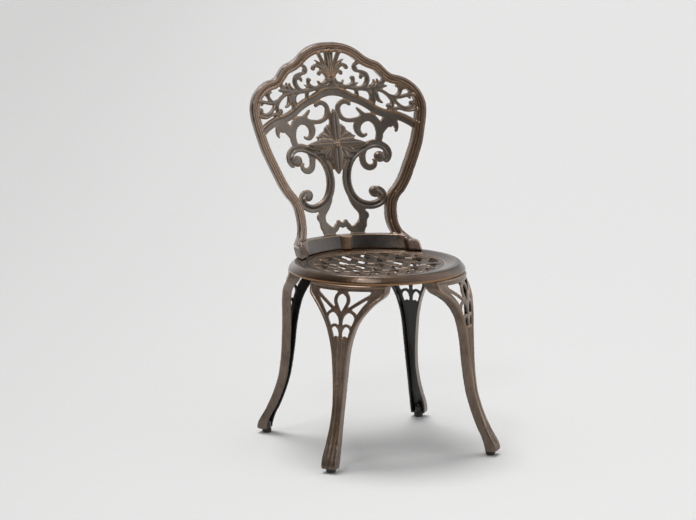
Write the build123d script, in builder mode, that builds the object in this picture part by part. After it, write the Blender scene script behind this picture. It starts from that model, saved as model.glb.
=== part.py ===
"""Round-seated garden chair in cast aluminium: a pierced back, a woven-look seat and four cabriole legs.

Millimetres, +Z up, the floor at z = 0 and the chair facing -Y. The origin lies on the floor under the
middle of the chair's own outline, so the seat's axis stands a little in front of it.
Outlines of the back are drawn in front view, x across and z above the seat. Outlines of a leg are drawn
looking at the leg from outside, t across, and its upper points hang from the leg's top.
"""

from build123d import *
import os
from math import cos, hypot, pi, radians, sin, sqrt, tan

# Seat
SEAT_RADIUS = 186.0
SEAT_HEIGHT = 418.0
RIM_HEIGHT = 19.0
RIM_FLARE = 11.0
RIM_WALL = 6.0
RIM_CREST = 12.0
RIM_ROUND = 5.0
RING_INNER_RADIUS = 143.0
RING_THICKNESS = 6.0
RING_DROP = 4.0
STEP_RADIUS = 151.0
STEP_DROP = 1.5
DISH_DEPTH = 12.0
STRIP_PITCH = 40.0
STRIP_WIDTH = 17.5
STRIP_THICKNESS = 3.5
WEAVE_STEP = 2.0
WEAVE_ANGLE = 30.0

# Back
BACK_LEAN = 12.9
BACK_OPENING = 54.5
BACK_BASE_RADIUS = 185.0
BACK_STANDOFF = 4.0
LEVEL_STEP = 0.8
WEB_THICKNESS = 7.0
CREST_RELIEF = 2.5
PETAL_RELIEF = 3.5
FRAME_WIDTH = 22.0
FRAME_FRONT = 4.5
FRAME_REAR = 10.0
OUTER_BEAD_WIDTH = 8.0
INNER_BEAD_WIDTH = 6.5
OUTER_BEAD_HEIGHT = 3.5
INNER_BEAD_HEIGHT = 2.5
BAND_WIDTH = 20.0
BAND_LIP = 4.5
RAIL_HEIGHT = 31.0
RAIL_HALF_WIDTH = 130.0
RAIL_FRONT = 13.0
RAIL_REAR = 4.0
LUG_INNER_X = 124.0
LUG_OUTER_X = 149.0
LUG_HEIGHT = 23.0
LUG_FRONT = 20.0
BOSS_RADIUS = 12.0

# Legs
LEG_AXIS_RADIUS = 62.0
LEG_PLATE = 5.0
LEG_DEPTH = 20.0
LEG_FLANGE = 4.5
LEG_BEAD_WIDTH = 5.5
LEG_BEAD_HEIGHT = 2.0
LEG_RIB_WIDTH = 3.5
LEG_RIB_SPACING = 10.0
APRON_HALF_WIDTH = 89.0
APRON_HEIGHT = 12.0
WINDOW_DEPTH = 113.0
LATTICE_WIDTH = 8.0
LEG_LUG_T = 42.0
LEG_LUG_RADIAL = 158.0
LEG_LUG_RADIUS = 10.0
LEG_LUG_THICKNESS = 6.0
FOOT_RADIUS = 271.0
FOOT_BOSS_RADIUS = 9.0
FOOT_BOSS_HEIGHT = 17.0

# Glides and fasteners
GLIDE_HEIGHT = 9.0
GLIDE_RADIUS = 10.5
GLIDE_BEVEL = 2.5
STUD_RADIUS = 3.0
STUD_LENGTH = 24.0
STUD_SET_IN = 4.0
RUNNING_CLEARANCE = 0.05
BOLT_RADIUS = 3.0
BOLT_HOLE_CLEARANCE = 0.4
BOLT_HEAD_FLATS = 10.0
BOLT_HEAD_HEIGHT = 4.0
BOLT_GRIP = 7.0
WASHER_RADIUS = 6.0
WASHER_THICKNESS = 1.2
SPRING_WASHER_RADIUS = 5.0
SPRING_WASHER_THICKNESS = 1.6
SPRING_WASHER_GAP = 1.5
SEAT_BOSS_RADIUS = 9.0
BACK_BOLT_INSET = 13.0

# Where the seat's axis stands, so that the origin is under the middle of the chair
SEAT_AXIS_Y = -42.7

# Levels and places that follow from the sizes above
RIM_BOTTOM = SEAT_HEIGHT - RIM_HEIGHT
LEG_TOP = RIM_BOTTOM
DISH_EDGE = SEAT_HEIGHT - RING_DROP - STEP_DROP
RING_UNDERSIDE = SEAT_HEIGHT - RING_DROP - RING_THICKNESS
BACK_BOLT_CIRCLE = SEAT_RADIUS - BACK_BOLT_INSET
BACK_BOLT_DEPTH = 12.0
LUG_X = (LUG_INNER_X + LUG_OUTER_X) / 2
BOLT_HOLE_RADIUS = BOLT_RADIUS + BOLT_HOLE_CLEARANCE
THREAD_HOLE_RADIUS = BOLT_RADIUS + RUNNING_CLEARANCE

seat_axis = Axis((0, SEAT_AXIS_Y, 0), (0, 0, 1))


def level(height):
    """Level plane at a height, centred on the seat's axis."""
    return Plane((0, SEAT_AXIS_Y, height))


def spread(values, share):
    """Value at a share of the way along a list of evenly spaced values."""
    place = share * (len(values) - 1)
    index = min(int(place), len(values) - 2)
    return values[index] + (values[index + 1] - values[index]) * (place - index)


def arcs(points):
    """Chain of arcs through an odd number of points, straight where three of them line up."""
    for first, middle, last in zip(points[0::2], points[1::2], points[2::2]):
        rise = Vector(*middle) - (Vector(*first) + Vector(*last)) / 2
        if rise.length < RUNNING_CLEARANCE:
            Line(first, last)
        else:
            ThreePointArc(first, middle, last)


def stroke(points, widths):
    """Face of a tapering band along a smooth line, with rounded ends."""
    with BuildLine(mode=Mode.PRIVATE) as centre:
        Spline(*points)
    line = centre.edges()[0]
    stations = len(points) + 1 - len(points) % 2
    left = []
    right = []
    for station in range(stations):
        share = station / (stations - 1)
        along = line % share
        side = Vector(-along.Y, along.X) * spread(widths, share) / 2
        left.append(line @ share + side)
        right.append(line @ share - side)
    start_tip = line @ 0 - (line % 0) * widths[0] / 2
    end_tip = line @ 1 + (line % 1) * widths[-1] / 2
    with BuildLine(mode=Mode.PRIVATE) as edge:
        arcs(left)
        ThreePointArc(left[-1], end_tip, right[-1])
        arcs(right[::-1])
        ThreePointArc(right[0], start_tip, left[0])
    return make_face(edge.edges(), mode=Mode.PRIVATE)


def draw(strokes, balls=()):
    """Adds bands and round ends, and their mirror images, to the sketch being drawn."""
    faces = [stroke(points, widths) for points, widths in strokes]
    for x, z, radius in balls:
        with Locations((x, z)):
            faces.append(Circle(radius, mode=Mode.PRIVATE))
    add([*faces, *mirror(faces, about=Plane.YZ, mode=Mode.PRIVATE).faces()])


def inset_line(points, inset):
    """Points moved square to the line through them, to its right-hand side."""
    ahead = points[1:] + points[-1:]
    behind = points[:1] + points[:-1]
    line = []
    for (x, z), (x_ahead, z_ahead), (x_behind, z_behind) in zip(points, ahead, behind):
        run = hypot(x_ahead - x_behind, z_ahead - z_behind)
        line.append((x + (z_ahead - z_behind) / run * inset, z - (x_ahead - x_behind) / run * inset))
    return line


# Seat casting: a rolled rim round a sloping ring, and a dished lattice of strips that pass over and under
def dish(above, below):
    """Shell that follows the dished seat, from a height above its surface to a depth below it."""
    radius = (STEP_RADIUS**2 + DISH_DEPTH**2) / (2 * DISH_DEPTH)
    centre = DISH_EDGE - DISH_DEPTH + radius
    reach = STEP_RADIUS + RIM_CREST

    def height(at, lift):
        return centre - sqrt((radius - lift) ** 2 - at**2)

    with BuildPart() as shell:
        with BuildSketch(Plane.XZ.offset(-SEAT_AXIS_Y)):
            with BuildLine():
                top = [(at, height(at, above)) for at in (0, reach / 2, reach)]
                bottom = [(at, height(at, -below)) for at in (0, reach / 2, reach)]
                ThreePointArc(*top)
                Line(top[-1], bottom[-1])
                ThreePointArc(*reversed(bottom))
                Line(bottom[0], top[0])
            make_face()
        revolve(axis=seat_axis)
    return shell.part


def leg_point(angle, radial, across):
    """Place on plan of a point beside a leg's centre line, the leg standing at an angle."""
    turn = radians(angle)
    return (radial * cos(turn) - across * sin(turn), radial * sin(turn) + across * cos(turn))


LEG_ANGLES = {"front_left": 225, "front_right": 315, "rear_right": 45, "rear_left": 135}
leg_bolt_places = [
    leg_point(angle, LEG_LUG_RADIAL, side * LEG_LUG_T) for angle in LEG_ANGLES.values() for side in (-1, 1)
]
back_bolt_places = [
    (x, sqrt(BACK_BOLT_CIRCLE**2 - x**2)) for x in (-LUG_X, 0, LUG_X)
]

strip_spacing = STRIP_PITCH / sin(radians(2 * WEAVE_ANGLE))
crossings = []
for row in range(-5, 5):
    for column in range(-5, 5):
        one = (row + 0.5) * strip_spacing
        other = (column + 0.5) * strip_spacing
        x = (one - other) * sin(radians(WEAVE_ANGLE))
        y = (one + other) * cos(radians(WEAVE_ANGLE))
        if hypot(x, y) < RING_INNER_RADIUS + STRIP_WIDTH / 2:
            lean = -WEAVE_ANGLE if (row + column) % 2 else WEAVE_ANGLE
            crossings.append(Location((x, y), lean))

strips = []
for lean in (radians(-WEAVE_ANGLE), radians(WEAVE_ANGLE)):
    for strip in range(-4, 4):
        shift = (strip + 0.5) * STRIP_PITCH
        strips.append(Location((shift * cos(lean), -shift * sin(lean)), -lean * 180 / pi))

with BuildPart() as lattice:
    with BuildSketch(level(RIM_BOTTOM - DISH_DEPTH)):
        with Locations(*strips):
            Rectangle(STRIP_WIDTH, 2 * SEAT_RADIUS)
        Circle((RING_INNER_RADIUS + STEP_RADIUS) / 2, mode=Mode.INTERSECT)
    extrude(amount=RIM_HEIGHT + DISH_DEPTH)
    add(dish(-WEAVE_STEP, WEAVE_STEP + STRIP_THICKNESS), mode=Mode.INTERSECT)

with BuildPart() as over_strips:
    with BuildSketch(level(RIM_BOTTOM - DISH_DEPTH)):
        with Locations(*crossings):
            Rectangle(STRIP_WIDTH, strip_spacing - WEAVE_STEP)
        Circle(RING_INNER_RADIUS + STEP_DROP, mode=Mode.INTERSECT)
    extrude(amount=RIM_HEIGHT + DISH_DEPTH)
    add(dish(0, STRIP_THICKNESS), mode=Mode.INTERSECT)

with BuildPart() as seat:
    with BuildSketch(Plane.XZ.offset(-SEAT_AXIS_Y)):
        with BuildLine():
            Polyline(
                (RING_INNER_RADIUS, RING_UNDERSIDE - STEP_DROP),
                (RING_INNER_RADIUS, DISH_EDGE),
                (STEP_RADIUS, DISH_EDGE),
                (STEP_RADIUS, DISH_EDGE + STEP_DROP),
                (SEAT_RADIUS - RIM_CREST, SEAT_HEIGHT),
                (SEAT_RADIUS - RIM_ROUND, SEAT_HEIGHT),
                (SEAT_RADIUS - RIM_ROUND / 4, SEAT_HEIGHT - RIM_ROUND / 3),
                (SEAT_RADIUS + RIM_ROUND / 3, SEAT_HEIGHT - RIM_ROUND),
                (SEAT_RADIUS + RIM_FLARE, RIM_BOTTOM + RIM_WALL / 2),
                (SEAT_RADIUS + RIM_FLARE, RIM_BOTTOM),
                (SEAT_RADIUS + RIM_FLARE - RIM_WALL, RIM_BOTTOM),
                (SEAT_RADIUS - RIM_WALL, RING_UNDERSIDE),
                (STEP_RADIUS, RING_UNDERSIDE),
                (STEP_RADIUS, RING_UNDERSIDE - STEP_DROP),
                close=True,
            )
        make_face()
    revolve(axis=seat_axis)
    add(lattice.part)
    add(over_strips.part)
    with BuildSketch(level(RIM_BOTTOM)):
        with Locations(*leg_bolt_places):
            Circle(SEAT_BOSS_RADIUS)
    extrude(amount=RING_UNDERSIDE - RIM_BOTTOM + STEP_DROP)
    with BuildSketch(level(RING_UNDERSIDE)):
        with Locations(*back_bolt_places):
            Circle(WASHER_RADIUS + STEP_DROP)
    extrude(amount=SEAT_HEIGHT - RING_UNDERSIDE)
    with BuildSketch(level(RIM_BOTTOM)):
        with Locations(*leg_bolt_places):
            Circle(THREAD_HOLE_RADIUS)
    extrude(amount=BOLT_GRIP + BOLT_HOLE_CLEARANCE, mode=Mode.SUBTRACT)
    with BuildSketch(level(RING_UNDERSIDE)):
        with Locations(*back_bolt_places):
            Circle(BOLT_HOLE_RADIUS)
    extrude(amount=RIM_HEIGHT, mode=Mode.SUBTRACT)
seat.part.label = "seat"

# Back: one pierced casting that follows a tilted cone, drawn in front view and cut to the cone's depth
rail_top = SEAT_HEIGHT + RAIL_HEIGHT
apex_z = rail_top - BACK_BASE_RADIUS / tan(radians(BACK_OPENING))
apex_y = SEAT_RADIUS + BACK_STANDOFF - (rail_top - apex_z) * tan(radians(BACK_LEAN))
apex = Vector(0, SEAT_AXIS_Y + apex_y, apex_z)
tilt = radians(BACK_OPENING - BACK_LEAN)
cone_axis = Axis(apex, (0, -sin(tilt), cos(tilt)))
cone_plane = Plane(apex, x_dir=(0, -cos(tilt), -sin(tilt)), z_dir=(-1, 0, 0))
front_view = Plane((0, SEAT_AXIS_Y, SEAT_HEIGHT), x_dir=(1, 0, 0), z_dir=(0, -1, 0))


def back_shell(front, rear):
    """Shell between two depths, a front one measured towards the sitter and a rear one away from them."""
    slope = tan(radians(BACK_OPENING))
    thick = 1 / cos(radians(BACK_OPENING))
    low = BACK_BASE_RADIUS / 5
    high = BACK_BASE_RADIUS * 2.1
    with BuildPart() as shell:
        with BuildSketch(cone_plane):
            with BuildLine():
                Polyline(
                    (low * slope - front * thick, low),
                    (high * slope - front * thick, high),
                    (high * slope + rear * thick, high),
                    (low * slope + rear * thick, low),
                    close=True,
                )
            make_face()
        revolve(axis=cone_axis)
    return shell.part


def to_depth(front, rear):
    """Turns the front-view drawing into a relief of the back between two depths."""
    extrude(amount=-2 * SEAT_RADIUS)
    add(back_shell(front, rear), mode=Mode.INTERSECT)


# Right half of the frame's outer edge, from the top of the arch down to the foot on the seat
FRAME_EDGE = [
    (0, 463), (22, 462), (42, 457.5), (60, 450), (75, 439.5), (88, 428.5), (101, 421.5), (113, 417.5),
    (122, 412), (131, 402), (139, 393), (147, 387.5), (158, 384.8), (171, 381), (184, 374), (195, 365),
    (204.5, 353.5), (211.5, 339.5), (215.3, 325), (215.5, 309), (212, 288), (205, 259), (197, 231),
    (185, 202), (170, 169.5), (156, 141.5), (143, 122.5), (132, 110), (126, 98), (123, 82), (122.3, 68),
    (124, 50), (128.5, 38.5), (137, 29.5), (LUG_OUTER_X - RIM_ROUND, LUG_HEIGHT - 1),
]


def frame_band(start, end):
    """Draws the part of the frame that lies between two distances in from its outer edge."""
    whole = [(-x, z) for x, z in FRAME_EDGE[:0:-1]] + FRAME_EDGE
    outer = inset_line(whole, start)
    inner = inset_line(whole, end)
    with BuildLine(mode=Mode.PRIVATE) as edge:
        arcs(outer)
        Line(outer[-1], inner[-1])
        arcs(inner[::-1])
        Line(inner[0], outer[0])
    make_face(edge.edges())


# Cross band under the crest, one sweep either side of the middle
BAND = [
    (0, 352), (20, 350), (40, 339.5), (70, 328), (100, 309), (120, 299.5), (145, 294.5), (165, 287),
    (190, 271),
]

# Scrollwork below the band, right half: each line with its widths along the way
SCROLLS = [
    # curl that hangs from the band beside the flower, with its horn
    ([(41, 322), (33, 327), (22, 325.5), (13.5, 315), (14, 300), (23, 289), (38, 285), (56, 286), (76, 291)],
     [9, 11, 11.5, 11, 10.5, 10, 10, 11, 13]),
    ([(82, 290), (70, 300), (60, 311)], [14, 10, 6]),
    # upper volute, the leaf it throws towards the frame and the ear that ties that to the band
    ([(101, 234), (107, 250), (106, 268), (98, 284), (84, 291), (68, 286), (57.5, 273), (57, 259), (65, 250)],
     [14, 16, 17, 19, 20, 19, 18, 16, 11]),
    ([(65, 250), (71, 249.5), (77, 253)], [11, 8, 5]),
    ([(107, 252), (116, 268), (128, 280), (141, 279), (146.5, 268)], [14, 19, 23, 20, 11]),
    ([(146.5, 268), (147, 262), (144.5, 257)], [11, 7, 4]),
    ([(132, 276), (139, 291)], [20, 20]),
    # upright in the shape of an S, and the loop under its upper scroll
    ([(116, 194), (122.5, 206), (117, 220), (104, 229), (87, 229), (67, 222.5), (48, 211.5), (34, 197),
      (24.5, 178), (20.3, 155), (21.5, 138), (27, 121), (38, 105.5), (54, 96), (72, 93), (88, 97), (99, 107),
      (100.5, 119), (92, 128)],
     [14, 17, 18, 19, 19, 19, 19, 19, 19.5, 20, 20.5, 20.5, 20, 19.5, 19, 18.5, 17.5, 17, 15]),
    ([(68, 217), (62, 199), (66, 184), (78, 177), (89, 183)], [13, 14, 15, 15, 11]),
    ([(89, 183), (90.5, 188), (87, 194)], [11, 8, 5]),
    # lobed foot of the upright and the curl that joins it to its twin
    ([(30, 112), (43, 90), (51, 75), (48, 61), (45, 48), (36, 36), (33, 26)], [20, 21, 21, 18, 22, 28, 31]),
    ([(30, 42), (18, 44), (9, 52), (0, 50)], [16, 14, 13, 12]),
]
SCROLL_ENDS = [(102, 201, 12.5), (83, 123, 13), (54, 71, 10.5), (47, 50, 10.5), (9, 58, 5)]

# Foliage of the crest, right half
FOLIAGE = [
    # stem that runs along above the band, with its thorns and the root on the frame
    ([(10, 366), (30, 362.5), (52, 357.5), (75, 355.5), (98, 355.5), (115, 359), (132, 360)],
     [8, 9, 9, 10, 11, 12, 5]),
    ([(97, 360), (104, 368), (105, 375)], [9, 6, 3]),
    ([(109, 361), (113, 369), (112.5, 376)], [9, 6, 3]),
    ([(116, 362), (127, 372)], [12, 10]),
    # two curling branches with their leaves, and the hook that meets the larger one
    ([(38, 361), (49, 365), (55.5, 372), (56, 379)], [8, 8, 8, 7]),
    ([(54, 363), (66, 369)], [8, 3]),
    ([(70, 357), (83, 362.5), (89, 373), (89, 384), (82, 391.5), (73, 394), (65, 396)],
     [8, 10, 11, 11, 11, 9, 5]),
    ([(85, 387), (76, 384), (74, 379)], [10, 9, 5]),
    ([(68, 413), (61, 408), (60, 401), (66, 395)], [8, 8, 8, 6]),
    # leaves that drop from the stem to the band
    ([(60, 355), (62, 347), (63, 339)], [10, 8, 6]),
    ([(80, 353), (91, 348), (95, 338), (92, 329)], [7, 7, 7, 6]),
    ([(100, 352), (107, 341), (111, 330), (119, 323)], [12, 12, 10, 5]),
    ([(100, 346), (101, 332), (99, 320)], [10, 9, 7]),
    # outer curls in the shoulder of the frame
    ([(97, 355), (116, 351), (133, 341), (142, 328.5), (142.5, 316), (137, 310)], [8, 8, 8, 9, 9, 7]),
    ([(138, 340), (150, 335), (163, 334.5), (177, 338), (191, 341)], [5, 8, 8, 8, 8]),
    ([(180, 337), (184, 331)], [7, 4]),
    ([(154, 337), (162, 345), (164, 354), (157, 358.5)], [7, 8, 9, 6]),
    ([(164, 352), (175, 357)], [9, 9]),
    ([(147, 332), (154, 320.5), (166, 312), (179, 310.5), (187, 316)], [7, 7, 6.5, 7, 8]),
    ([(142, 307), (154, 309), (167, 305), (181, 303.5), (194, 308)], [8, 7, 6, 6, 7]),
]
FOLIAGE_ENDS = [(54.5, 380, 5.5), (62, 402, 6), (134.5, 314.5, 6), (187, 320, 6)]

# Palmette at the middle of the crest: fronds from a tie, with two roots on the stem
FRONDS = [
    ([(0, 388), (0, 446)], [9, 8]),
    ([(3, 388), (5, 415), (7.5, 443)], [7, 7, 7]),
    ([(5, 388), (13, 413), (25.5, 439)], [7, 8, 9]),
    ([(6, 388), (17, 409), (34, 423)], [7, 7.5, 3]),
    ([(7, 386), (18, 402), (30, 411), (40, 408.5)], [7, 8.5, 8.5, 8]),
    ([(8, 384), (15, 393.5), (22, 397.5), (27.5, 395)], [6.5, 7, 6.5, 6]),
    ([(7, 382), (14, 373), (25, 369.5), (31, 376)], [9, 8, 7, 4]),
    ([(0, 356), (0, 398)], [18, 17]),
]
FROND_ENDS = [(41, 405, 5), (27, 392.5, 4.5)]

# Flower of the lower panel: each pointed petal with its turn, length and width
FLOWER_HEIGHT = 232
PETALS = [
    (90, 81, 22), (-90, 67, 27), (0, 76, 22),
    (69, 50, 17), (44, 48, 17), (22, 54, 16), (-68, 44, 17), (-44, 46, 17), (-22, 50, 16),
]
FLOWER_EYE = 6.5


def petal(length, width):
    """Face of a petal that comes to a point at either end, lying along x from the flower's middle."""
    tip = (length, 0)
    with BuildLine(mode=Mode.PRIVATE) as edge:
        ThreePointArc((0, 0), (length / 2, width / 2), tip)
        ThreePointArc(tip, (length / 2, -width / 2), (0, 0))
    return make_face(edge.edges(), mode=Mode.PRIVATE)


with BuildPart() as scrollwork:
    with BuildSketch(front_view):
        draw(SCROLLS, SCROLL_ENDS)
        draw([(BAND, [BAND_WIDTH, BAND_WIDTH])])
    to_depth(0, WEB_THICKNESS)

with BuildPart() as foliage:
    with BuildSketch(front_view):
        draw(FOLIAGE, FOLIAGE_ENDS)
        draw(FRONDS, FROND_ENDS)
        lip = (BAND_WIDTH - BAND_LIP) / 2 - LEVEL_STEP
        draw([([(x, z + lip) for x, z in BAND], [BAND_LIP, BAND_LIP])])
    to_depth(CREST_RELIEF, WEB_THICKNESS - LEVEL_STEP)

with BuildPart() as flower:
    with BuildSketch(front_view):
        for turn, length, width in PETALS:
            with Locations(Location((0, FLOWER_HEIGHT), turn)):
                add(petal(length, width))
        mirror(about=Plane.YZ)
    to_depth(PETAL_RELIEF, WEB_THICKNESS - 2 * LEVEL_STEP)

with BuildPart() as flower_eye:
    with BuildSketch(front_view):
        with Locations((0, FLOWER_HEIGHT)):
            Circle(FLOWER_EYE)
    to_depth(2 * PETAL_RELIEF, WEB_THICKNESS - 3 * LEVEL_STEP)

with BuildPart() as frame:
    with BuildSketch(front_view):
        frame_band(0, FRAME_WIDTH)
    to_depth(FRAME_FRONT, FRAME_REAR)

with BuildPart() as outer_bead:
    with BuildSketch(front_view):
        frame_band(LEVEL_STEP, OUTER_BEAD_WIDTH)
    to_depth(FRAME_FRONT + OUTER_BEAD_HEIGHT, WEB_THICKNESS / 2)

with BuildPart() as inner_bead:
    with BuildSketch(front_view):
        frame_band(FRAME_WIDTH - INNER_BEAD_WIDTH, FRAME_WIDTH - LEVEL_STEP)
    to_depth(FRAME_FRONT + INNER_BEAD_HEIGHT, WEB_THICKNESS / 2)

with BuildPart() as rail:
    with BuildSketch(front_view):
        with Locations((0, RAIL_HEIGHT / 2)):
            Rectangle(2 * RAIL_HALF_WIDTH, RAIL_HEIGHT)
    to_depth(RAIL_FRONT, RAIL_REAR)

with BuildPart() as rail_boss:
    with BuildSketch(level(SEAT_HEIGHT)):
        with Locations(back_bolt_places[1]):
            Circle(BOSS_RADIUS)
    extrude(amount=RAIL_HEIGHT - STEP_DROP)

with BuildPart() as lugs:
    with BuildSketch(front_view):
        with Locations((-LUG_X, LUG_HEIGHT / 2), (LUG_X, LUG_HEIGHT / 2)):
            RectangleRounded(LUG_OUTER_X - LUG_INNER_X, LUG_HEIGHT, RIM_ROUND)
        with Locations((-LUG_X, LUG_HEIGHT / 4), (LUG_X, LUG_HEIGHT / 4)):
            Rectangle(LUG_OUTER_X - LUG_INNER_X, LUG_HEIGHT / 2)
    to_depth(LUG_FRONT, RAIL_REAR - LEVEL_STEP)

with BuildPart() as backrest:
    add([scrollwork.part, foliage.part, flower.part, flower_eye.part, frame.part, outer_bead.part])
    add([inner_bead.part, rail.part, rail_boss.part, lugs.part])
    with BuildSketch(level(SEAT_HEIGHT)):
        with Locations(*back_bolt_places):
            Circle(THREAD_HOLE_RADIUS)
    extrude(amount=BACK_BOLT_DEPTH + BOLT_HOLE_CLEARANCE, mode=Mode.SUBTRACT)
backrest.part.label = "backrest"

# Leg: a cabriole casting of channel section, drawn across and cut to a surface turned about an upright axis
leg_axis = Axis((LEG_AXIS_RADIUS, 0, 0), (0, 0, 1))
leg_view = Plane((0, 0, 0), x_dir=(0, 1, 0), z_dir=(1, 0, 0))

# Half outline as distance across and height: the upper points hang from the leg's top
LEG_EDGE = [
    (APRON_HALF_WIDTH, LEG_TOP - APRON_HEIGHT), (APRON_HALF_WIDTH - 1, LEG_TOP - 22),
    (APRON_HALF_WIDTH - 8, LEG_TOP - 31), (68, LEG_TOP - 42), (52, LEG_TOP - 60), (39, LEG_TOP - 80),
    (29, LEG_TOP - 105), (22, LEG_TOP - 132), (17.5, LEG_TOP - 167), (14.5, 193), (12.3, 150), (12, 120),
    (13, 90), (15, 65), (17.5, 40), (18, 25), (17, GLIDE_HEIGHT),
]
WINDOW_EDGE = [
    (70, LEG_TOP - APRON_HEIGHT - 1), (63, LEG_TOP - 23), (55, LEG_TOP - 33), (40.5, LEG_TOP - 52),
    (29.5, LEG_TOP - 73), (21.5, LEG_TOP - 95), (16, LEG_TOP - WINDOW_DEPTH),
]
# Line of the leg's front face as distance out from the chair's axis and height: the knee in short straights,
# then the sweep to the foot in arcs
KNEE = [
    (SEAT_RADIUS + 10.5, LEG_TOP + 10), (SEAT_RADIUS + 14, LEG_TOP), (SEAT_RADIUS + 21.5, LEG_TOP - 22),
    (SEAT_RADIUS + 28.5, LEG_TOP - 52), (SEAT_RADIUS + 33, LEG_TOP - 87), (SEAT_RADIUS + 38.5, LEG_TOP - 168),
]
FOOT_SWEEP = [
    (SEAT_RADIUS + 38.5, LEG_TOP - 168), (FOOT_RADIUS - 43, 187), (FOOT_RADIUS - 36, 140),
    (FOOT_RADIUS - 20.5, 93), (FOOT_RADIUS - 5, 59), (FOOT_RADIUS + 6.5, 38), (FOOT_RADIUS + 12, 22),
    (FOOT_RADIUS + 13.5, GLIDE_HEIGHT), (FOOT_RADIUS + 12, 0),
]
# Openwork under the apron: a drop on a stem, two bars, two tiers of arches and the lobes of the shaft's top
OPENWORK = [
    ([(0, LEG_TOP - 62), (0, LEG_TOP - WINDOW_DEPTH - 2)], [LATTICE_WIDTH + 1, LATTICE_WIDTH]),
    ([(0, LEG_TOP - 66), (7, LEG_TOP - 52), (13.5, LEG_TOP - 39), (13.5, LEG_TOP - 26), (0, LEG_TOP - 14)],
     [LATTICE_WIDTH, LATTICE_WIDTH + 1]),
    ([(66, LEG_TOP - 18), (43, LEG_TOP - 33), (18, LEG_TOP - 50)], [LATTICE_WIDTH, LATTICE_WIDTH]),
    ([(1, LEG_TOP - 76), (6, LEG_TOP - 63), (16, LEG_TOP - 55), (25, LEG_TOP - 57), (33, LEG_TOP - 69)],
     [LATTICE_WIDTH, LATTICE_WIDTH - 1]),
    ([(1, LEG_TOP - 102), (5, LEG_TOP - 91), (12.5, LEG_TOP - 85), (19, LEG_TOP - 87.5), (24, LEG_TOP - 97)],
     [LATTICE_WIDTH - 1, LATTICE_WIDTH - 1]),
]
OPENWORK_ENDS = [(65, LEG_TOP - 19, 6.5), (10, LEG_TOP - WINDOW_DEPTH, 4.5)]


def leg_shell(front, rear):
    """Shell that follows the leg's front, from a height above it to a depth behind it."""
    middle = 2 * LEG_AXIS_RADIUS
    knee = [(middle - out, height) for out, height in KNEE]
    sweep = [(middle - out, height) for out, height in FOOT_SWEEP]
    with BuildPart() as shell:
        with BuildSketch(Plane.XZ):
            with BuildLine():
                Polyline(*[(x - front, z) for x, z in knee])
                arcs([(x - front, z) for x, z in sweep])
                Line((sweep[-1][0] - front, sweep[-1][1]), (sweep[-1][0] + rear, sweep[-1][1]))
                arcs([(x + rear, z) for x, z in sweep[::-1]])
                Polyline(*[(x + rear, z) for x, z in knee[::-1]])
                Line((knee[0][0] + rear, knee[0][1]), (knee[0][0] - front, knee[0][1]))
            make_face()
        revolve(axis=leg_axis)
    return shell.part


def leg_depth(front, rear):
    """Turns the drawing across the leg into a relief of the leg between two depths."""
    extrude(amount=2 * FOOT_RADIUS)
    with Locations((0, 0, 0)):
        add(leg_shell(front, rear), mode=Mode.INTERSECT)


def leg_outline(inset=0, mode=Mode.ADD):
    """Draws the outline of a leg, or a line at a distance in from it."""
    right = inset_line(LEG_EDGE, inset)
    left = [(-across, height) for across, height in reversed(right)]
    top = LEG_TOP - inset
    with BuildLine(mode=Mode.PRIVATE) as edge:
        arcs(right)
        Line(right[-1], left[0])
        arcs(left)
        Polyline(left[-1], (left[-1][0], top), (right[0][0], top), right[0])
    make_face(edge.edges(), mode=mode)


with BuildPart() as leg_plate:
    with BuildSketch(leg_view):
        leg_outline(LEG_FLANGE / 2)
        with BuildLine(mode=Mode.PRIVATE) as window:
            arcs(WINDOW_EDGE)
            Polyline(WINDOW_EDGE[-1], (0, WINDOW_EDGE[-1][1]), (0, WINDOW_EDGE[0][1]), WINDOW_EDGE[0])
        opening = make_face(window.edges(), mode=Mode.PRIVATE)
        add(opening, mode=Mode.SUBTRACT)
        mirror(opening, about=Plane.YZ, mode=Mode.SUBTRACT)
        draw(OPENWORK, OPENWORK_ENDS)
    leg_depth(-LEVEL_STEP, LEG_PLATE)

with BuildPart() as leg_flange:
    with BuildSketch(leg_view):
        leg_outline()
        leg_outline(LEG_FLANGE, mode=Mode.SUBTRACT)
        with Locations((0, GLIDE_HEIGHT + LEG_FLANGE / 2)):
            Rectangle(2 * LEG_EDGE[-1][0] - LEG_FLANGE, LEG_FLANGE)
    leg_depth(0, LEG_DEPTH)

with BuildPart() as leg_bead:
    with BuildSketch(leg_view):
        leg_outline(LEVEL_STEP)
        leg_outline(LEG_BEAD_WIDTH, mode=Mode.SUBTRACT)
        rib_height = LEG_TOP - WINDOW_DEPTH - GLIDE_HEIGHT
        with Locations((0, GLIDE_HEIGHT + rib_height / 2)):
            with GridLocations(LEG_RIB_SPACING, 0, 2, 1):
                Rectangle(LEG_RIB_WIDTH, rib_height)
    leg_depth(LEG_BEAD_HEIGHT, LEG_PLATE / 2)

with BuildPart() as leg_fixings:
    with BuildSketch(Plane.XY.offset(LEG_TOP - LEG_LUG_THICKNESS)):
        reach = SEAT_RADIUS - LEG_LUG_RADIAL
        with Locations((LEG_LUG_RADIAL, -LEG_LUG_T), (LEG_LUG_RADIAL, LEG_LUG_T)):
            Circle(LEG_LUG_RADIUS)
            with Locations((reach / 2, 0)):
                Rectangle(reach, 2 * LEG_LUG_RADIUS)
    extrude(amount=LEG_LUG_THICKNESS)
    with BuildSketch(Plane.XY.offset(GLIDE_HEIGHT)):
        with Locations((FOOT_RADIUS, 0)):
            Circle(FOOT_BOSS_RADIUS)
    extrude(amount=FOOT_BOSS_HEIGHT)

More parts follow.
